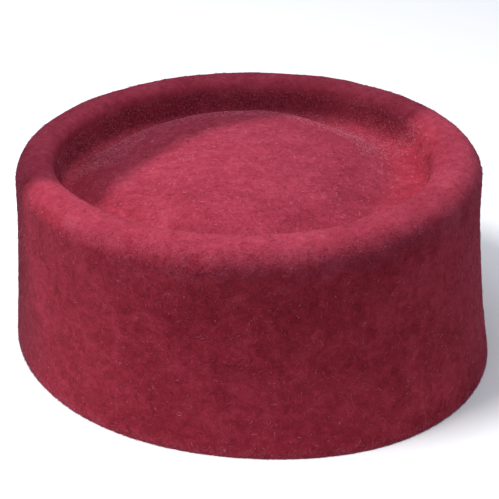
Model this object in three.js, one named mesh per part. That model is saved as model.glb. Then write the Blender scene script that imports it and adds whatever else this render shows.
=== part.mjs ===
// A low fez, blocked from one piece of felt: an upright wall, a rolled rim, a groove inside the rim
// and a shallow domed disc in the middle of the top. It is open below and stands on its cut edge.
// Millimetres, +Z up. The origin is on the ground under the middle of the cap.
// Angles go round the cap from +X towards +Y, so the front is at -90 degrees.

import * as THREE from 'three';
import { mergeVertices } from 'three/addons/utils/BufferGeometryUtils.js';

const { degToRad, euclideanModulo, lerp, radToDeg, smoothstep } = THREE.MathUtils;

// The thickness of the felt
const WALL = 2.5;

// The wall: nearly round where it meets the rim, and oval at the cut edge, as a head is
const CAP_HEIGHT = 78;
const TOP_LENGTH = 175;
const TOP_WIDTH = 171.5;
const TOP_TURN = degToRad(45);
const FOOT_LENGTH = 192;
const FOOT_WIDTH = 175;
const FOOT_TURN = degToRad(-35);
const WAIST = 0.8;
const FLARE = 1.4;
const FLARE_HEIGHT = 20;

// The power that lifts the waist towards the rim. At 1 it is halfway up the wall.
const WAIST_LIFT = 1.8;

// The rim, rolled over from the wall to the drop into the groove. Each bend is measured on its tighter face.
// The inner one is the middle value, as it is tight at the left and full at the right.
const RIM_OUTER_BEND = 5.5;
const RIM_INNER_BEND = 3;
const CREST_FLAT = 1;

// The groove, whose depth is from the crest to its floor
const GROOVE_DEPTH = 15;
const GROOVE_WIDTH = 5;
const DROP_LEAN = 1.5;
const GROOVE_OUTER_BEND = 3;
const GROOVE_INNER_BEND = 4;

// The disc: a short slope up from the groove, a soft shoulder and a shallow dome
const SLOPE_RISE = 6.5;
const SLOPE_RUN = 8;
const SHOULDER_BEND = 10;
const DOME_RISE = 4.5;

const FELT_RED = 0x96324a;
const FELT_ROUGHNESS = 0.95;

// How fine the faces are: round the cap, up the wall, in each bend and across the dome
const STEPS_ROUND = 72;
const WALL_STEPS = 6;
const RIM_STEPS = 6;
const GROOVE_STEPS = 4;
const SHOULDER_STEPS = 4;
const DOME_STEPS = 6;

// The bends at the two ends of a straight stretch never take more than this share of it
const BEND_SHARE = 0.98;

// How the form, blocked by hand, varies around the cap: shares of the foot's radius, the waist, the flare,
// the rim's inner bend, the drop's lean with the groove's two bends, the groove's depth and width, and the
// run of the slope to the disc. The rows go from the left (-170) by the front (-90) to the right (15), and
// round the back.
const AROUND = [
  { at: -170, foot: 0.997, waist: 0.2, flare: 0.2, roll: 0.6, soft: 1, depth: 1.04, width: 0.8, slope: 1.7 },
  { at: -130, foot: 1.003, waist: 0.8, flare: 0.3, roll: 2.1, soft: 1, depth: 1.02, width: 0.8, slope: 1.5 },
  { at: -90, foot: 0.992, waist: 1.2, flare: 0.2, roll: 2.2, soft: 1.1, depth: 0.98, width: 1, slope: 1.3 },
  { at: -55, foot: 1.004, waist: 1.4, flare: 0.3, roll: 2.3, soft: 1.5, depth: 0.95, width: 2, slope: 1.6 },
  { at: -15, foot: 0.992, waist: 1.4, flare: 0.7, roll: 1.7, soft: 2, depth: 0.97, width: 2.9, slope: 2 },
  { at: 15, foot: 0.997, waist: 1.2, flare: 0.5, roll: 1.6, soft: 3.2, depth: 0.93, width: 2.1, slope: 1.7 },
  { at: 40, foot: 1, waist: 1, flare: 0.4, roll: 1.5, soft: 1.8, depth: 0.95, width: 1.7, slope: 1.3 },
  { at: 95, foot: 1, waist: 0.8, flare: 0.3, roll: 1.4, soft: 1, depth: 1, width: 0.9, slope: 0.7 },
  { at: 140, foot: 1, waist: 0.8, flare: 0.4, roll: 1, soft: 1, depth: 1.04, width: 0.9, slope: 1.2 },
];

// The share in one column of that table at any angle, eased from row to row
function shareAt(column, angle) {
  const start = AROUND[0].at;
  const at = euclideanModulo(radToDeg(angle) - start, 360) + start;
  const row = AROUND.findLastIndex((entry) => entry.at <= at);
  const next = AROUND[(row + 1) % AROUND.length];
  const nextAt = next === AROUND[0] ? start + 360 : next.at;
  return lerp(AROUND[row][column], next[column], smoothstep(at, AROUND[row].at, nextAt));
}

// The radius at an angle of an oval whose length is turned from +X
function ovalRadius(angle, length, width, turn) {
  return 1 / Math.hypot(Math.cos(angle - turn) / (length / 2), Math.sin(angle - turn) / (width / 2));
}

// What the waist and the flare add to the wall's radius at a height, and at a share of the way up to the rim
function wallBulge(angle, height, share) {
  const drawnIn = WAIST * shareAt('waist', angle) * Math.sin(Math.PI * share ** WAIST_LIFT);
  const sprung = FLARE * shareAt('flare', angle) * Math.max(0, 1 - height / FLARE_HEIGHT) ** 2;
  return sprung - drawnIn;
}

// The corners that the outside would have without its bends, in the upright half-plane at an angle. x is the
// distance from the axis and y the height. They run up the wall, over the rim and through the groove.
function outsideCorners(angle) {
  const foot = ovalRadius(angle, FOOT_LENGTH, FOOT_WIDTH, FOOT_TURN) * shareAt('foot', angle);
  const rim = ovalRadius(angle, TOP_LENGTH, TOP_WIDTH, TOP_TURN);
  const roll = RIM_INNER_BEND * shareAt('roll', angle);
  const drop = rim - RIM_OUTER_BEND - roll - 2 * WALL - CREST_FLAT;
  const soft = shareAt('soft', angle);
  const floorEdge = drop - DROP_LEAN * soft;
  const floorEnd = floorEdge - GROOVE_WIDTH * shareAt('width', angle);
  const floor = CAP_HEIGHT - GROOVE_DEPTH * shareAt('depth', angle);
  const discRadius = floorEnd - SLOPE_RUN * shareAt('slope', angle);
  const discEdge = CAP_HEIGHT - GROOVE_DEPTH + SLOPE_RISE;
  return [
    { at: new THREE.Vector2(foot, 0) },
    { at: new THREE.Vector2(rim, CAP_HEIGHT), bend: RIM_OUTER_BEND, steps: RIM_STEPS },
    { at: new THREE.Vector2(drop, CAP_HEIGHT), bend: roll, steps: RIM_STEPS },
    { at: new THREE.Vector2(floorEdge, floor), bend: GROOVE_OUTER_BEND * soft, steps: GROOVE_STEPS },
    { at: new THREE.Vector2(floorEnd, floor), bend: GROOVE_INNER_BEND * soft, steps: GROOVE_STEPS },
    { at: new THREE.Vector2(discRadius, discEdge), bend: SHOULDER_BEND, steps: SHOULDER_STEPS },
  ];
}

const leftOf = (way) => new THREE.Vector2(-way.y, way.x);

// The dome is an arc about a centre on the axis. It starts beyond the shoulder's bend, at a slope that
// brings its top, which is level, DOME_RISE above the disc's edge.
function domeOf(corners) {
  const shoulder = corners[corners.length - 1].at;
  const slopeWay = shoulder.clone().sub(corners[corners.length - 2].at);
  const slope = Math.atan2(slopeWay.y, -slopeWay.x);
  const reach = Math.min((SHOULDER_BEND + WALL) * Math.abs(Math.tan(slope / 2)), shoulder.x / 2);
  const angle = 2 * Math.atan(DOME_RISE / (shoulder.x + reach));
  const way = new THREE.Vector2(-Math.cos(angle), Math.sin(angle));
  const edge = shoulder.clone().addScaledVector(way, reach);
  const centre = edge.clone().addScaledVector(leftOf(way), edge.x / Math.sin(angle));
  return { angle, way, edge, centre };
}

// The direction of the straight stretch that follows each corner. The last one runs into the dome.
function waysBetween(corners, dome) {
  return corners.map(({ at }, i) => {
    const next = corners[i + 1];
    return next ? next.at.clone().sub(at).normalize() : dome.way;
  });
}

// The same corners on the felt's other face, one wall to the left of the way that they run
function insideCorners(corners, ways) {
  return corners.map((corner, i) => {
    if (i === 0) {
      return { ...corner, at: new THREE.Vector2(corner.at.x - WALL / ways[0].y, 0) };
    }
    const before = leftOf(ways[i - 1]);
    const after = leftOf(ways[i]);
    const mitre = WALL / (1 + before.dot(after));
    return { ...corner, at: corner.at.clone().addScaledVector(before.add(after), mitre) };
  });
}

// The radius and the reach of the bend at each corner of one face. A left turn wraps round the felt, so on
// the outside it is wider than its named bend by the wall. A right turn is wider on the inside.
function bendsOf(corners, ways, dome, isOutside) {
  const bends = corners.map(({ bend = 0 }, i) => {
    const turn = i > 0 ? Math.atan2(ways[i - 1].cross(ways[i]), ways[i - 1].dot(ways[i])) : 0;
    const radius = turn > 0 === isOutside ? bend + WALL : bend;
    return { turn, radius, reach: radius * Math.tan(Math.abs(turn) / 2) };
  });
  const rooms = corners.map(({ at }, i) => {
    const next = corners[i + 1];
    return at.distanceTo(next ? next.at : dome.edge);
  });
  return bends.map(({ turn, radius, reach }, i) => {
    const roomBefore = i > 1 ? rooms[i - 1] / (bends[i - 1].reach + reach) : Infinity;
    const roomAfter = i + 1 < bends.length ? rooms[i] / (reach + bends[i + 1].reach) : Infinity;
    const fit = i > 0 ? Math.min(1, BEND_SHARE * roomBefore, BEND_SHARE * roomAfter) : 0;
    return { turn, radius: radius * fit, reach: reach * fit };
  });
}

// One face of the felt, from its foot to the axis
function facePath(angle, corners, ways, dome, isOutside) {
  const bends = bendsOf(corners, ways, dome, isOutside);
  const path = [];
  const foot = corners[0].at;
  const wallEnd = corners[1].at.clone().addScaledVector(ways[0], -bends[1].reach);
  for (let k = 0; k < WALL_STEPS; k++) {
    const point = foot.clone().lerp(wallEnd, k / WALL_STEPS);
    point.x += wallBulge(angle, point.y, k / WALL_STEPS);
    path.push(point);
  }
  for (let i = 1; i < corners.length; i++) {
    const { turn, radius, reach } = bends[i];
    const start = corners[i].at.clone().addScaledVector(ways[i - 1], -reach);
    const centre = start.clone().addScaledVector(leftOf(ways[i - 1]), Math.sign(turn) * radius);
    for (let k = 0; k <= corners[i].steps; k++) {
      path.push(start.clone().rotateAround(centre, (turn * k) / corners[i].steps));
    }
  }
  const edge = dome.edge.clone().addScaledVector(leftOf(dome.way), isOutside ? 0 : WALL);
  for (let k = 1; k <= DOME_STEPS; k++) {
    path.push(edge.clone().rotateAround(dome.centre, (dome.angle * k) / DOME_STEPS));
  }
  return path;
}

// The closed outline of the felt at an angle: up the outside to the axis, and back down the inside
function outlineAt(angle) {
  const corners = outsideCorners(angle);
  const dome = domeOf(corners);
  const ways = waysBetween(corners, dome);
  const outside = facePath(angle, corners, ways, dome, true);
  const inside = facePath(angle, insideCorners(corners, ways), ways, dome, false);
  return { points: [...outside, ...inside.reverse()], poles: [outside.length - 1, outside.length] };
}

// The felt as one closed mesh: the outlines side by side round the axis. The two points on the axis, the
// poles, are single, so the faces beside them are triangles. The mesh is centred over the origin.
function feltGeometry() {
  const outlines = [];
  for (let j = 0; j < STEPS_ROUND; j++) {
    outlines.push(outlineAt((2 * Math.PI * j) / STEPS_ROUND));
  }
  const { points, poles } = outlines[0];
  const positions = [];
  for (let i = 0; i < points.length; i++) {
    for (let j = 0; j < STEPS_ROUND; j++) {
      const { x, y } = outlines[j].points[i];
      const angle = (2 * Math.PI * j) / STEPS_ROUND;
      positions.push(x * Math.cos(angle), x * Math.sin(angle), y);
    }
  }
  const vertex = (i, j) => i * STEPS_ROUND + (poles.includes(i) ? 0 : j % STEPS_ROUND);
  const triangles = [];
  for (let i = 0; i < points.length; i++) {
    const next = (i + 1) % points.length;
    for (let j = 0; j < STEPS_ROUND; j++) {
      if (!poles.includes(i)) {
        triangles.push(vertex(i, j), vertex(i, j + 1), vertex(next, j + 1));
      }
      if (!poles.includes(next)) {
        triangles.push(vertex(i, j), vertex(next, j + 1), vertex(next, j));
      }
    }
  }
  const geometry = new THREE.BufferGeometry();
  geometry.setAttribute('position', new THREE.Float32BufferAttribute(positions, 3));
  geometry.setIndex(triangles);
  geometry.computeBoundingBox();
  const middle = geometry.boundingBox.getCenter(new THREE.Vector3());
  geometry.translate(-middle.x, -middle.y, 0);
  const merged = mergeVertices(geometry);
  merged.computeVertexNormals();
  return merged;
}

function feltCap() {
  const felt = new THREE.MeshStandardMaterial({ color: FELT_RED, roughness: FELT_ROUGHNESS, metalness: 0 });
  const cap = new THREE.Mesh(feltGeometry(), felt);
  cap.name = 'felt_cap';
  return cap;
}

const fez = new THREE.Group();
fez.add(feltCap());

export default fez;
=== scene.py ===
# A low fez of brushed crimson felt, standing on a pale floor. Metres, +Z up, the front towards -Y.

import math

import bmesh
import bpy
import numpy as np
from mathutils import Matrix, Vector, noise


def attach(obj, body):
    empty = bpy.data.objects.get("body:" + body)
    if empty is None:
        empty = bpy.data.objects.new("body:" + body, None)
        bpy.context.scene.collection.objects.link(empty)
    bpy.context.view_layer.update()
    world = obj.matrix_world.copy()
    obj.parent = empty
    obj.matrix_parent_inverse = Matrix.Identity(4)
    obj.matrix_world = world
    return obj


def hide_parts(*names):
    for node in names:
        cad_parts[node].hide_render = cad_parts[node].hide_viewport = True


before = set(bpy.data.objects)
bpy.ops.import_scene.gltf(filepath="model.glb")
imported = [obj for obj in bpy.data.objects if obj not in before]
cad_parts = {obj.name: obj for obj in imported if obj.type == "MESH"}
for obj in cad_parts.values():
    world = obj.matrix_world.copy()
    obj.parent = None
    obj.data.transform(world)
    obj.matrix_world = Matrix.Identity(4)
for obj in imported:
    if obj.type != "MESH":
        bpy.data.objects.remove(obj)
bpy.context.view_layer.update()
scene = bpy.context.scene


# The camera stands in front of the cap and looks down on it. The photograph's frame cuts a little more
# below the cap than above it, which the shift gives back.
CAMERA_RISE = math.radians(26.5)
CAMERA_DISTANCE = 0.5
AIM_HEIGHT = 0.045
camera = bpy.data.objects.new("camera", bpy.data.cameras.new("camera"))
camera.data.sensor_width = 36
camera.data.lens = 93
camera.data.shift_y = -0.0527
camera.location = (
    0,
    -CAMERA_DISTANCE * math.cos(CAMERA_RISE),
    AIM_HEIGHT + CAMERA_DISTANCE * math.sin(CAMERA_RISE),
)
camera.rotation_euler = (math.pi / 2 - CAMERA_RISE, 0, 0)
camera.data.clip_start = 0.01
scene.collection.objects.link(camera)
scene.camera = camera


# Plain soft studio light: a key from the left and a little in front, and a broad soft box overhead. A flag
# that doesn't show keeps the key off the back of the top. The floor has a key of its own, with no flag.
KEY_TURN, KEY_RISE = math.radians(-160), math.radians(57)
key_way = Vector((
    math.cos(KEY_TURN) * math.cos(KEY_RISE),
    math.sin(KEY_TURN) * math.cos(KEY_RISE),
    math.sin(KEY_RISE),
))
key_side = Vector((0, 0, 1)).cross(-key_way).normalized()
key_up = (-key_way).cross(key_side)
cap_pieces = bpy.data.collections.new("cap_pieces")
key_blockers = bpy.data.collections.new("key_blockers")
floor_group = bpy.data.collections.new("floor_group")


def disc_light(name, way, distance, size, power, colour):
    light = bpy.data.objects.new(name, bpy.data.lights.new(name, "AREA"))
    light.data.shape = "DISK"
    light.data.size = size
    light.data.energy = power
    light.data.color = colour
    light.location = way * distance
    light.rotation_euler = way.to_track_quat("Z", "Y").to_euler()
    scene.collection.objects.link(light)
    return light


cap_key = disc_light("cap_key", key_way, distance=0.6, size=0.15, power=2.1, colour=(1, 0.97, 0.94))
cap_key.light_linking.receiver_collection = cap_pieces
cap_key.light_linking.blocker_collection = key_blockers
floor_key = disc_light("floor_key", key_way, distance=1.3, size=0.4, power=16, colour=(1, 0.99, 0.98))
floor_key.light_linking.receiver_collection = floor_group
floor_key.light_linking.blocker_collection = cap_pieces
overhead = Vector((0, 0.05, 1)).normalized()
soft_box = disc_light("soft_box", overhead, distance=1.3, size=1.5, power=12, colour=(0.93, 0.95, 1))
soft_box.light_linking.blocker_collection = cap_pieces

# The flag leans with the cap's top across the key's beam. Its edge is given by how far up the beam it is and
# how far to the side, in metres.
FLAG_DISTANCE, FLAG_LEAN = 0.118, 0.6
FLAG_REACH = 0.4
FLAG_EDGE = [
    {"up": -0.4, "side": -0.004},
    {"up": -0.025, "side": -0.004},
    {"up": -0.0143, "side": -0.009},
    {"up": -0.003, "side": 0.001},
    {"up": 0.011, "side": 0.013},
    {"up": 0.024, "side": 0.024},
    {"up": 0.037, "side": 0.031},
    {"up": 0.051, "side": 0.034},
    {"up": 0.062, "side": 0.037},
    {"up": 0.0725, "side": 0.036},
    {"up": 0.08, "side": 0.027},
    {"up": 0.084, "side": 0.016},
    {"up": 0.09, "side": 0.004},
    {"up": 0.103, "side": 0.007},
    {"up": 0.113, "side": 0.013},
    {"up": 0.4, "side": 0.013},
]
bm = bmesh.new()
edge_verts = []
for row in FLAG_EDGE:
    nearness = FLAG_DISTANCE - FLAG_LEAN * row["up"]
    edge_verts.append(bm.verts.new(key_way * nearness + key_up * row["up"] + key_side * row["side"]))
for a, b in zip(edge_verts, edge_verts[1:]):
    bm.edges.new((a, b))
spread = bmesh.ops.extrude_edge_only(bm, edges=bm.edges)
far_verts = [v for v in spread["geom"] if isinstance(v, bmesh.types.BMVert)]
bmesh.ops.translate(bm, vec=key_side * FLAG_REACH, verts=far_verts)
flag_mesh = bpy.data.meshes.new("flag")
bm.to_mesh(flag_mesh)
bm.free()
flag = bpy.data.objects.new("flag", flag_mesh)
flag.visible_camera = flag.visible_diffuse = flag.visible_glossy = False
scene.collection.objects.link(flag)
key_blockers.objects.link(flag)

world = bpy.data.worlds.new("studio")
world.use_nodes = True
world.node_tree.nodes["Background"].inputs["Color"].default_value = (0.74, 0.85, 1, 1)
world.node_tree.nodes["Background"].inputs["Strength"].default_value = 0.2
scene.world = world
scene.view_settings.view_transform = "Standard"


# The floor, plain pale paper. Only the part of it near the cap throws much light back at the cap, as a table
# does. The rest throws little, though it shows as pale.
FLOOR_REACH = 3
TABLE_REACH = 0.22
PAPER_SEEN = (0.86, 0.86, 0.87, 1)
PAPER_NEAR = (0.68, 0.68, 0.7, 1)
PAPER_BEYOND = (0.1, 0.1, 0.11, 1)
bm = bmesh.new()
bmesh.ops.create_grid(bm, x_segments=1, y_segments=1, size=FLOOR_REACH)
floor_mesh = bpy.data.meshes.new("floor")
bm.to_mesh(floor_mesh)
bm.free()
floor = bpy.data.objects.new("floor", floor_mesh)
scene.collection.objects.link(floor)
floor_group.objects.link(floor)
paper = bpy.data.materials.new("floor_paper")
paper.use_nodes = True
paper_nodes, paper_links = paper.node_tree.nodes, paper.node_tree.links
paper_nodes["Principled BSDF"].inputs["Roughness"].default_value = 0.9
paper_nodes["Principled BSDF"].inputs["Specular IOR Level"].default_value = 0.1
place = paper_nodes.new("ShaderNodeTexCoord")
reach = paper_nodes.new("ShaderNodeVectorMath")
reach.operation = "LENGTH"
beyond = paper_nodes.new("ShaderNodeMath")
beyond.operation = "GREATER_THAN"
beyond.inputs[1].default_value = TABLE_REACH
ray = paper_nodes.new("ShaderNodeLightPath")
thrown = paper_nodes.new("ShaderNodeMix")
thrown.data_type = "RGBA"
thrown.inputs["A"].default_value = PAPER_NEAR
thrown.inputs["B"].default_value = PAPER_BEYOND
pale = paper_nodes.new("ShaderNodeMix")
pale.data_type = "RGBA"
pale.inputs["A"].default_value = PAPER_SEEN
paper_links.new(place.outputs["Object"], reach.inputs[0])
paper_links.new(reach.outputs["Value"], beyond.inputs[0])
paper_links.new(beyond.outputs[0], thrown.inputs["Factor"])
paper_links.new(thrown.outputs["Result"], pale.inputs["B"])
paper_links.new(ray.outputs["Is Diffuse Ray"], pale.inputs["Factor"])
paper_links.new(pale.outputs["Result"], paper_nodes["Principled BSDF"].inputs["Base Color"])
floor_mesh.materials.append(paper)


# The felt cap: one hood of thick felt, blocked to an upright wall, a rolled rim, a groove inside the rim
# and a shallow domed disc. It is nearly round at the rim and oval at the cut edge, and as uneven as handwork.
WALL = 0.0025
CAP_HEIGHT = 0.078
TOP_LENGTH, TOP_WIDTH, TOP_TURN = 0.175, 0.1715, math.radians(45)
FOOT_LENGTH, FOOT_WIDTH, FOOT_TURN = 0.192, 0.175, math.radians(-35)
WAIST, WAIST_LIFT, FLARE, FLARE_HEIGHT = 0.0008, 1.8, 0.0014, 0.02
RIM_OUTER_BEND, RIM_INNER_BEND, CREST_FLAT = 0.0055, 0.003, 0.001
GROOVE_DEPTH, GROOVE_WIDTH, DROP_LEAN = 0.015, 0.005, 0.0015
GROOVE_OUTER_BEND, GROOVE_INNER_BEND = 0.003, 0.004
SLOPE_RISE, SLOPE_RUN, SHOULDER_BEND, DOME_RISE = 0.0065, 0.008, 0.01, 0.0045
BEND_SHARE = 0.98
WALL_POINTS, BEND_POINTS, DOME_POINTS = 12, 12, 24
STEPS_ROUND = 288
STEPS_ALONG = 144

# Shares of those sizes round the cap, at so many degrees, from the left by the front to the right and round
# the back. Roll is the share of RIM_INNER_BEND, soft that of DROP_LEAN and of the groove's bends, and slope
# that of SLOPE_RUN.
AROUND_NAMES = ("at", "foot", "waist", "flare", "roll", "soft", "depth", "width", "slope")
AROUND = [
    dict(zip(AROUND_NAMES, row))
    for row in (
        (-170, 0.997, 0.2, 0.2, 0.6, 1, 1.04, 0.8, 1.7),
        (-130, 1.003, 0.8, 0.3, 2.1, 1, 1.02, 0.8, 1.5),
        (-90, 0.992, 1.2, 0.2, 2.2, 1.1, 0.98, 1, 1.3),
        (-55, 1.004, 1.4, 0.3, 2.3, 1.5, 0.95, 2, 1.6),
        (-15, 0.992, 1.4, 0.7, 1.7, 2, 0.97, 2.9, 2),
        (15, 0.997, 1.2, 0.5, 1.6, 3.2, 0.93, 2.1, 1.7),
        (40, 1, 1, 0.4, 1.5, 1.8, 0.95, 1.7, 1.3),
        (95, 1, 0.8, 0.3, 1.4, 1, 1, 0.9, 0.7),
        (140, 1, 0.8, 0.4, 1, 1, 1.04, 0.9, 1.2),
    )
]


def shares_at(angle):
    """The row of that table at any angle, eased from row to row."""
    start = AROUND[0]["at"]
    at = (math.degrees(angle) - start) % 360 + start
    i = max(k for k, row in enumerate(AROUND) if row["at"] <= at)
    row, after = AROUND[i], AROUND[(i + 1) % len(AROUND)]
    share = (at - row["at"]) / ((after["at"] - row["at"]) % 360)
    share = share * share * (3 - 2 * share)
    return {name: row[name] + (after[name] - row[name]) * share for name in row}


def oval_radius(angle, length, width, turn):
    return 1 / math.hypot(math.cos(angle - turn) / (length / 2), math.sin(angle - turn) / (width / 2))


def outline_at(angle):
    """Distances from the axis and heights along the outer face, evenly spaced from the middle to the foot."""
    share = shares_at(angle)
    foot = oval_radius(angle, FOOT_LENGTH, FOOT_WIDTH, FOOT_TURN) * share["foot"]
    rim = oval_radius(angle, TOP_LENGTH, TOP_WIDTH, TOP_TURN)
    roll = RIM_INNER_BEND * share["roll"]
    drop = rim - RIM_OUTER_BEND - roll - 2 * WALL - CREST_FLAT
    floor_edge = drop - DROP_LEAN * share["soft"]
    floor_end = floor_edge - GROOVE_WIDTH * share["width"]
    floor_height = CAP_HEIGHT - GROOVE_DEPTH * share["depth"]
    corners = [
        Vector((foot, 0)),
        Vector((rim, CAP_HEIGHT)),
        Vector((drop, CAP_HEIGHT)),
        Vector((floor_edge, floor_height)),
        Vector((floor_end, floor_height)),
        Vector((floor_end - SLOPE_RUN * share["slope"], CAP_HEIGHT - GROOVE_DEPTH + SLOPE_RISE)),
    ]
    radii = [
        0,
        RIM_OUTER_BEND + WALL,
        roll + WALL,
        GROOVE_OUTER_BEND * share["soft"],
        GROOVE_INNER_BEND * share["soft"],
        SHOULDER_BEND + WALL,
    ]
    # The dome is an arc about a centre on the axis, from beyond the shoulder's bend
    shoulder = corners[-1]
    slope_way = shoulder - corners[-2]
    reach = radii[-1] * abs(math.tan(math.atan2(slope_way.y, -slope_way.x) / 2))
    lean = 2 * math.atan(DOME_RISE / (shoulder.x + reach))
    dome_edge = shoulder + Vector((-math.cos(lean), math.sin(lean))) * reach
    dome_radius = dome_edge.x / math.sin(lean)
    corners.append(dome_edge)
    ways = [(b - a).normalized() for a, b in zip(corners, corners[1:])]
    rooms = [(b - a).length for a, b in zip(corners, corners[1:])]
    turns = [0] + [
        math.atan2(a.x * b.y - a.y * b.x, a.dot(b)) for a, b in zip(ways, ways[1:])
    ]
    reaches = [radius * math.tan(abs(turn) / 2) for radius, turn in zip(radii, turns)]
    points = []
    for k in range(WALL_POINTS):
        share_up = k / WALL_POINTS
        point = corners[0].lerp(corners[1] - ways[0] * reaches[1], share_up)
        sprung = FLARE * share["flare"] * max(0, 1 - point.y / FLARE_HEIGHT) ** 2
        drawn_in = WAIST * share["waist"] * math.sin(math.pi * share_up ** WAIST_LIFT)
        points.append((point.x + sprung - drawn_in, point.y))
    for i in range(1, len(radii)):
        room_before = rooms[i - 1] / (reaches[i - 1] + reaches[i]) if i > 1 else math.inf
        room_after = rooms[i] / (reaches[i] + reaches[i + 1]) if i + 1 < len(radii) else math.inf
        fit = min(1, BEND_SHARE * room_before, BEND_SHARE * room_after)
        before = ways[i - 1]
        side = math.copysign(1, turns[i])
        start = corners[i] - before * reaches[i] * fit
        centre = start + Vector((-before.y, before.x)) * side * radii[i] * fit
        first = math.atan2(start.y - centre.y, start.x - centre.x)
        bend = radii[i] * fit
        for k in range(BEND_POINTS + 1):
            at = first + turns[i] * k / BEND_POINTS
            points.append((centre.x + bend * math.cos(at), centre.y + bend * math.sin(at)))
    top = dome_edge.y + dome_radius * (1 - math.cos(lean))
    for k in range(1, DOME_POINTS + 1):
        at = lean * (1 - k / DOME_POINTS)
        points.append((dome_radius * math.sin(at), top - dome_radius * (1 - math.cos(at))))
    points = np.array(points[::-1])
    along = np.concatenate([[0], np.cumsum(np.hypot(*np.diff(points, axis=0).T))])
    even = np.linspace(0, along[-1], STEPS_ALONG + 1)
    return np.column_stack([np.interp(even, along, points[:, 0]), np.interp(even, along, points[:, 1])])


outlines = np.array([outline_at(2 * math.pi * j / STEPS_ROUND) for j in range(STEPS_ROUND)])
angles = 2 * math.pi * np.arange(STEPS_ROUND) / STEPS_ROUND
places = np.stack(
    [
        outlines[:, :, 0] * np.cos(angles)[:, None],
        outlines[:, :, 0] * np.sin(angles)[:, None],
        outlines[:, :, 1],
    ],
    axis=2,
)
middle = (places.min(axis=(0, 1)) + places.max(axis=(0, 1))) / 2
places[:, :, :2] -= middle[:2]


def normals_of(grid):
    """A grid's outward normals. Its rows go round the axis and its columns from the middle to the foot."""
    around = np.roll(grid, -1, axis=0) - np.roll(grid, 1, axis=0)
    outward = np.gradient(grid, axis=1)
    normals = np.cross(outward, around)
    normals[:, 0] = (0, 0, 1)
    return normals / np.linalg.norm(normals, axis=2, keepdims=True)


# The felt is a little uneven everywhere, but level where it stands
SWELLS = [
    {"height": 0.00035, "fineness": 38},
    {"height": 0.00016, "fineness": 140},
    {"height": 0.00009, "fineness": 420},
]
LEVEL_HEIGHT = 0.01
swell = np.array([
    [sum(row["height"] * noise.noise(Vector(p) * row["fineness"]) for row in SWELLS) for p in line]
    for line in places
])
swell[:, 0] = swell[:, 0].mean()
felt_normals = normals_of(places)
places += felt_normals * (swell * np.minimum(1, places[:, :, 2] / LEVEL_HEIGHT))[:, :, None]
felt_normals = normals_of(places)

# A flat round of felt is spun from a line of points a unit apart, and each point is then taken to its place.
# The paler, pinker top is a painted sheen and ends raggedly just under the rim. In the groove's left and
# right it gives way to a deeper red, which is painted shade.
SHEEN_ENDS, SHEEN_FADE, SHEEN_RAGGED = 0.56, 0.045, 0.035
RAGGED_FINENESS = (260, 90)
GROOVE_SHADE_MIDDLE, GROOVE_SHADE_REACH, GROOVE_SHADE_SHARE = 0.4, 0.1, 0.7
FOOT_BAND, FOOT_ROUND = 0.0006, 0.0007
bm = bmesh.new()
line = [bm.verts.new((k, 0, 0)) for k in range(STEPS_ALONG + 1)]
edges = [bm.edges.new(pair) for pair in zip(line, line[1:])]
bmesh.ops.spin(
    bm, geom=line + edges, cent=(0, 0, 0), axis=(0, 0, 1), dvec=(0, 0, 0),
    angle=2 * math.pi, steps=STEPS_ROUND, use_merge=True, use_duplicate=False,
)
bmesh.ops.remove_doubles(bm, verts=bm.verts, dist=0.001)
sheen_top_share = bm.verts.layers.float.new("top")
for vert in bm.verts:
    k = round(math.hypot(vert.co.x, vert.co.y))
    j = round(math.atan2(vert.co.y, vert.co.x) / (2 * math.pi) * STEPS_ROUND) % STEPS_ROUND
    share_out = k / STEPS_ALONG
    ragged = sum(SHEEN_RAGGED * noise.noise(Vector(places[j, k]) * fineness) for fineness in RAGGED_FINENESS)
    # Painted shade: the groove's left and right take the deeper wall red instead of the paler top
    groove_shade = max(0, 1 - (abs(share_out - GROOVE_SHADE_MIDDLE) / GROOVE_SHADE_REACH) ** 2) * abs(math.cos(angles[j]))
    pale = float(np.clip((SHEEN_ENDS + SHEEN_FADE + ragged - share_out) / SHEEN_FADE, 0, 1))
    vert[sheen_top_share] = pale * (1 - GROOVE_SHADE_SHARE * groove_shade)
    vert.co = places[j, k]
bmesh.ops.recalc_face_normals(bm, faces=bm.faces)
bmesh.ops.solidify(bm, geom=list(bm.faces), thickness=WALL)
for vert in bm.verts:
    if vert.co.z < FOOT_BAND:
        vert.co.z = 0
foot_faces = {f for f in bm.faces if all(v.co.z == 0 for v in f.verts)}
foot_edges = [e for f in foot_faces for e in f.edges if any(g not in foot_faces for g in e.link_faces)]
bmesh.ops.bevel(
    bm, geom=foot_edges, offset=FOOT_ROUND, segments=2, profile=0.5, affect="EDGES", material=-1
)
for vert in bm.verts:
    vert.co.z = max(vert.co.z, 0)
bmesh.ops.recalc_face_normals(bm, faces=bm.faces)
for face in bm.faces:
    face.smooth = True
felt_mesh = bpy.data.meshes.new("felt")
bm.to_mesh(felt_mesh)
bm.free()
felt = bpy.data.objects.new("felt", felt_mesh)
scene.collection.objects.link(felt)
cap_pieces.objects.link(felt)
key_blockers.objects.link(felt)


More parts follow.
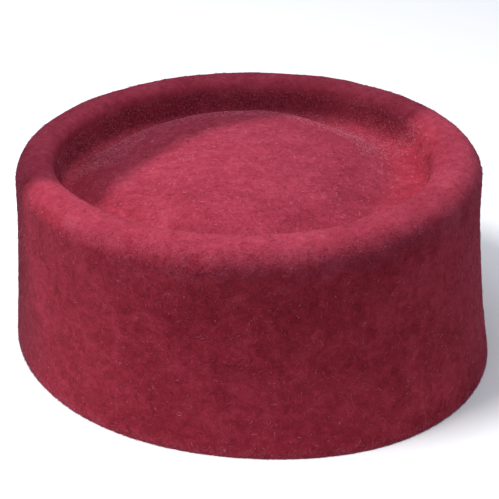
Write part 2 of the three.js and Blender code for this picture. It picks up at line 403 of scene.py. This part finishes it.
# The felt's colour and surface: deep crimson wool, mottled where the nap lies one way or the other, and paler
# and pinker on the top, which is a painted sheen. Its fine unevenness is a bump. Both come from the same
# layers, each with its share of the colour's tone and of the bump's height.
FELT_LAYERS = [
    {"fineness": 45, "detail": 2, "rough": 0.5, "warp": 0.4, "tone": 0.3, "height": 0},
    {"fineness": 260, "detail": 3, "rough": 0.55, "warp": 0.8, "tone": 0.42, "height": 0.5},
    {"fineness": 900, "detail": 3, "rough": 0.6, "warp": 1.6, "tone": 0.42, "height": 0.8},
    {"fineness": 2400, "detail": 2, "rough": 0.6, "warp": 0.3, "tone": 0.09, "height": 0.25},
]
TONE_DROP = 0.115
BUMP_SHARE, BUMP_DEPTH = 0.36, 0.0004
WALL_REDS = [
    {"at": 0.34, "colour": (0.21, 0.0105, 0.02)},
    {"at": 0.5, "colour": (0.345, 0.0225, 0.042)},
    {"at": 0.66, "colour": (0.485, 0.045, 0.08)},
]
# The top's paler, pinker reds: a painted sheen
SHEEN_TOP_REDS = [
    {"at": 0.34, "colour": (0.262, 0.021, 0.041)},
    {"at": 0.5, "colour": (0.36, 0.036, 0.066)},
    {"at": 0.66, "colour": (0.458, 0.061, 0.102)},
]


def colour_ramp(nodes, links, value, stops):
    """Colours that follow a value from the first stop to the last."""
    ramp = nodes.new("ShaderNodeValToRGB")
    elements = ramp.color_ramp.elements
    for element, stop in ((elements[0], stops[0]), (elements[1], stops[-1])):
        element.position = stop["at"]
        element.color = (*stop["colour"], 1)
    for stop in stops[1:-1]:
        elements.new(stop["at"]).color = (*stop["colour"], 1)
    links.new(value, ramp.inputs["Fac"])
    return ramp.outputs["Color"]


def felt_material(name):
    material = bpy.data.materials.new(name)
    material.use_nodes = True
    nodes, links = material.node_tree.nodes, material.node_tree.links
    shader = nodes["Principled BSDF"]
    place = nodes.new("ShaderNodeTexCoord")
    layers = []
    for row in FELT_LAYERS:
        layer = nodes.new("ShaderNodeTexNoise")
        layer.inputs["Scale"].default_value = row["fineness"]
        layer.inputs["Detail"].default_value = row["detail"]
        layer.inputs["Roughness"].default_value = row["rough"]
        layer.inputs["Distortion"].default_value = row["warp"]
        links.new(place.outputs["Object"], layer.inputs["Vector"])
        layers.append(layer.outputs["Fac"])

    def total_of(column, start):
        """The sum of the layers, each times its share in that column."""
        total = nodes.new("ShaderNodeValue").outputs[0]
        total.default_value = start
        for layer, row in zip(layers, FELT_LAYERS):
            if row[column]:
                step = nodes.new("ShaderNodeMath")
                step.operation = "MULTIPLY_ADD"
                step.inputs[1].default_value = row[column]
                links.new(layer, step.inputs[0])
                links.new(total, step.inputs[2])
                total = step.outputs[0]
        return total

    tone = total_of("tone", -TONE_DROP)
    # The top attribute carries the painted sheen on the top and the painted shade in the groove's sides
    top = nodes.new("ShaderNodeAttribute")
    top.attribute_name = "top"
    mix = nodes.new("ShaderNodeMix")
    mix.data_type = "RGBA"
    links.new(top.outputs["Fac"], mix.inputs["Factor"])
    links.new(colour_ramp(nodes, links, tone, WALL_REDS), mix.inputs["A"])
    links.new(colour_ramp(nodes, links, tone, SHEEN_TOP_REDS), mix.inputs["B"])
    links.new(mix.outputs["Result"], shader.inputs["Base Color"])
    bump = nodes.new("ShaderNodeBump")
    bump.inputs["Strength"].default_value = BUMP_SHARE
    bump.inputs["Distance"].default_value = BUMP_DEPTH
    links.new(total_of("height", 0), bump.inputs["Height"])
    links.new(bump.outputs["Normal"], shader.inputs["Normal"])
    shader.inputs["Roughness"].default_value = 0.95
    shader.inputs["Specular IOR Level"].default_value = 0.1
    shader.inputs["Sheen Weight"].default_value = 0.06
    shader.inputs["Sheen Roughness"].default_value = 0.5
    shader.inputs["Sheen Tint"].default_value = (1, 0.4, 0.62, 1)
    return material


felt_mesh.materials.append(felt_material("crimson_felt"))
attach(felt, "root")
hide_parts("felt_cap")


# The fuzz: short wool fibres, brushed up out of the felt and still rooted in it, that cover the cap. They lie
# down the wall, round the top and every way inside. Each is a three-sided spike, closed at its root, that
# rises a little off the felt.
FIBRE_RISE, FIBRE_EASE, FIBRE_TAPER = 0.2, 0.35, 0.75
LENGTH_SPREAD, WIDTH_SPREAD = (0.6, 1.4), (0.7, 1.2)
CLUMP_FINENESS, CLUMP_FROM, CLUMP_PALE, CLUMP_TINT = 620, 0.2, 1.9, 0.4
SWIRLS = [
    {"fineness": 60, "turn": 1.6},
    {"fineness": 240, "turn": 1.2},
]
UPRIGHT_GAIN = 1.4
FLOOR_GAP = 0.0001
HALF_TURN = math.pi
TINY = 1e-9
SHADE_SHARE = 0.4
PATCH_FINENESS, PATCH_DETAIL, PATCH_SHARE, PATCH_DROP = 220, 3, 1.1, 0.25
NAP_REDS = [
    {"at": 0.25, "colour": (0.3, 0.02, 0.045)},
    {"at": 0.7, "colour": (0.54, 0.09, 0.165)},
    {"at": 1, "colour": (0.68, 0.18, 0.25)},
]
rng = np.random.default_rng(11)


def fibre_material(name):
    """Red wool that is paler or darker by each fibre's own shade and in soft patches."""
    material = bpy.data.materials.new(name)
    material.use_nodes = True
    nodes, links = material.node_tree.nodes, material.node_tree.links
    shader = nodes["Principled BSDF"]
    shade = nodes.new("ShaderNodeAttribute")
    shade.attribute_name = "shade"
    place = nodes.new("ShaderNodeTexCoord")
    patches = nodes.new("ShaderNodeTexNoise")
    patches.inputs["Scale"].default_value = PATCH_FINENESS
    patches.inputs["Detail"].default_value = PATCH_DETAIL
    links.new(place.outputs["Object"], patches.inputs["Vector"])
    swing = nodes.new("ShaderNodeMath")
    swing.operation = "MULTIPLY_ADD"
    swing.inputs[1].default_value = PATCH_SHARE
    swing.inputs[2].default_value = -PATCH_DROP
    links.new(patches.outputs["Fac"], swing.inputs[0])
    tone = nodes.new("ShaderNodeMath")
    tone.operation = "MULTIPLY_ADD"
    tone.inputs[1].default_value = SHADE_SHARE
    links.new(shade.outputs["Fac"], tone.inputs[0])
    links.new(swing.outputs[0], tone.inputs[2])
    links.new(colour_ramp(nodes, links, tone.outputs[0], NAP_REDS), shader.inputs["Base Color"])
    shader.inputs["Roughness"].default_value = 0.8
    shader.inputs["Specular IOR Level"].default_value = 0.06
    return material


nap_material = fibre_material("crimson_nap")


def fibres(name, roots, ways, lifts, lengths, widths, bends, sections, shades):
    """Joined fibres. Each leaves its root along its way, rises along its lift and bends to one side."""
    sides = np.cross(lifts, ways)
    count = len(roots)

    def middles(t):
        """The middle of each fibre at a share of its length."""
        return (
            roots
            + ways * (lengths * t)[:, None]
            + sides * (lengths * bends * t * t)[:, None]
            + lifts * (lengths * FIBRE_RISE * t * (1 - FIBRE_EASE * t))[:, None]
        )

    points = []
    for i in range(sections):
        t = i / sections
        centre = middles(t)
        width = widths * (1 - FIBRE_TAPER * t)
        for corner in range(3):
            turn = 2 * math.pi * corner / 3
            across = sides * (width * math.cos(turn))[:, None]
            upward = lifts * (width * math.sin(turn))[:, None]
            points.append(centre + across + upward)
    points.append(middles(1))
    per = len(points)
    points = np.stack(points, axis=1).reshape(-1, 3)
    points[:, 2] = np.maximum(points[:, 2], FLOOR_GAP)

    faces = [(2, 1, 0)]
    for i in range(sections - 1):
        for corner in range(3):
            a, b = 3 * i + corner, 3 * i + (corner + 1) % 3
            faces += [(a, b, b + 3), (a, b + 3, a + 3)]
    last = 3 * (sections - 1)
    faces += [(last + corner, last + (corner + 1) % 3, per - 1) for corner in range(3)]
    faces = (np.array(faces)[None] + (np.arange(count) * per)[:, None, None]).reshape(-1, 3)

    mesh = bpy.data.meshes.new(name)
    mesh.vertices.add(len(points))
    mesh.vertices.foreach_set("co", points.ravel())
    mesh.loops.add(len(faces) * 3)
    mesh.loops.foreach_set("vertex_index", faces.ravel())
    mesh.polygons.add(len(faces))
    mesh.polygons.foreach_set("loop_start", np.arange(len(faces)) * 3)
    mesh.update(calc_edges=True)
    shade = mesh.attributes.new("shade", "FLOAT", "POINT")
    shade.data.foreach_set("value", np.repeat(shades, per).astype(np.float32))
    mesh.materials.append(nap_material)
    piece = bpy.data.objects.new(name, mesh)
    scene.collection.objects.link(piece)
    cap_pieces.objects.link(piece)
    key_blockers.objects.link(piece)
    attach(piece, "root")


# The cells of the felt's outer face, for spreading the fibres by area
cell_corner = places[:, :-1]
cell_round = np.roll(places, -1, axis=0)[:, :-1] - cell_corner
cell_along = places[:, 1:] - cell_corner
cell_area = np.linalg.norm(np.cross(cell_round, cell_along), axis=2)


def felt_spots(count, along, turn, inside):
    """Places and outward normals on the felt, over a stretch of the outline and of the turn round the cap."""
    weights = cell_area.copy()
    shares = np.arange(STEPS_ALONG) / STEPS_ALONG
    weights[:, (shares < along[0]) | (shares >= along[1])] = 0
    turns = (angles + math.pi) % (2 * math.pi) - math.pi
    weights[(turns < turn[0]) | (turns >= turn[1])] = 0
    cells = rng.choice(weights.size, count, p=(weights / weights.sum()).ravel())
    j, k = np.unravel_index(cells, weights.shape)
    u, v = rng.random((2, count, 1))
    spots = cell_corner[j, k] + cell_round[j, k] * u + cell_along[j, k] * v
    normals = felt_normals[j, k]
    if inside:
        return spots - normals * WALL, -normals
    return spots, normals


def brushed(spots, normals, wander):
    """The way that the nap lies: down the wall and round the top, in loose swirls."""
    down = np.array([0, 0, -1.0]) + normals * normals[:, 2:]
    around = np.cross([0, 0, 1.0], spots * [1, 1, 0])
    around /= np.linalg.norm(around, axis=1, keepdims=True) + TINY
    upright = np.clip(UPRIGHT_GAIN * (1 - np.abs(normals[:, 2:])), 0, 1)
    way = down * upright + around * (1 - upright)
    way -= normals * np.sum(way * normals, axis=1, keepdims=True)
    way /= np.linalg.norm(way, axis=1, keepdims=True) + TINY
    swirl = np.array([
        sum(row["turn"] * noise.noise(Vector(p) * row["fineness"]) for row in SWIRLS) for p in spots
    ])
    turn = (swirl + rng.normal(0, wander, len(spots)))[:, None]
    side = np.cross(normals, way)
    return way * np.cos(turn) + side * np.sin(turn)


def nap(
    name, count, along, length, width, sections=1, wander=0.7, bend=0.3, shades=(0.25, 0.75),
    lift=0, turn=(-HALF_TURN, HALF_TURN), inside=False,
):
    """Fibres over a stretch of the felt, in clumps that are paler where they crowd.

    The stretch runs along the outline, as shares from the middle to the foot, and over a turn round the cap.
    Wander turns each fibre's way, bend curves it and shades are its darkest and its palest tone.
    """
    spots, normals = felt_spots(count, along, turn, inside)
    ways = brushed(spots, normals, wander)
    lengths = length * rng.uniform(*LENGTH_SPREAD, count)
    widths = width * rng.uniform(*WIDTH_SPREAD, count)
    clumps = np.array([noise.noise(Vector(p) * CLUMP_FINENESS) for p in spots])
    crowding = np.clip(clumps - CLUMP_FROM, 0, 1)
    shade = rng.uniform(*shades, count) + CLUMP_PALE * crowding + CLUMP_TINT * clumps
    roots = spots + normals * (lift - width)
    fibres(name, roots, ways, normals, lengths, widths, rng.normal(0, bend, count), sections, shade)


nap("fuzz_disc", 22000, along=(0, 0.32), length=0.001, width=0.00006)
# The rim's fibres are paler than the rest: a painted sheen on the crest and the groove
nap("fuzz_rim_painted_sheen", 32000, along=(0.32, 0.58), length=0.0008, width=0.00006, shades=(1.2, 1.4))
nap("fuzz_wall_front", 25000, along=(0.58, 1), turn=(-HALF_TURN, 0), length=0.001, width=0.00006)
nap("fuzz_wall_back", 25000, along=(0.58, 1), turn=(0, HALF_TURN), length=0.001, width=0.00006)
nap(
    "fuzz_inside", 16000, along=(0, 0.98), inside=True, length=0.0012, width=0.00007,
    wander=1.5, bend=0.5, shades=(0.25, 0.6),
)


# The longer nap: wool fibres of about 2 mm, drawn out of the felt by the brush and still held by it. They lie
# in all directions, sparsely, on the top and on the wall.
nap("nap_top", 6000, along=(0, 0.58), length=0.002, width=0.00008, sections=2, wander=1.4, bend=0.6)
nap("nap_wall", 6500, along=(0.58, 1), length=0.002, width=0.00008, sections=2, wander=1.2, bend=0.6)


# The grain at the back of the groove, where no iron or brush reaches: short thick ends of pale wool, still
# fixed in the felt, that stand clear of the fuzz.
nap(
    "groove_grain", 9500, along=(0.27, 0.46), turn=(0.3, HALF_TURN), lift=0.00022, length=0.0005,
    width=0.0002, wander=2, bend=0.5, shades=(1.2, 2.6),
)


# The wisps: small curled tufts of paler wool, about a millimetre long, that have worked loose from the felt
# of the disc, the groove and the wall and are held at one end.
nap(
    "wisps_top", 1700, along=(0, 0.46), lift=0.0001, length=0.0012, width=0.0002,
    sections=3, wander=2, bend=0.9, shades=(1, 1.7),
)
nap(
    "wisps_wall", 2600, along=(0.58, 1), lift=0.0001, length=0.0011, width=0.00024,
    sections=3, wander=2, bend=0.9, shades=(0.7, 1.35),
)


# The brow: the outer edge of the rim in front, where handling has raised the nap. Fine fibres lie over the
# edge, and short tufts spread from it down the wall.
nap(
    "brow", 900, along=(0.53, 0.6), turn=(-2.2, 0.4), length=0.0014, width=0.0001,
    sections=2, wander=0.6, shades=(0.4, 0.9),
)
nap(
    "brow_tufts", 6000, along=(0.54, 0.68), turn=(-2.8, -0.4), length=0.0009, width=0.00012,
    wander=1.4, bend=0.5, shades=(0.5, 1.1),
)


# The fringe at the foot: pale ends of wool that the knife left when the edge was cut. They are rooted in the
# wall just above the edge, all round, and lie over it.
nap(
    "foot_fringe", 8000, along=(0.975, 1), length=0.0012, width=0.0001,
    wander=1.2, bend=0.4, shades=(1.2, 2.4),
)


# The stray hairs: single fine wool hairs of about 6 mm, held at one end, that lie loosely bent here and there
# on the whole cap.
nap(
    "stray_hairs", 160, along=(0, 0.97), length=0.006, width=0.00004,
    sections=5, wander=2, bend=0.45, shades=(0.7, 1.4),
)
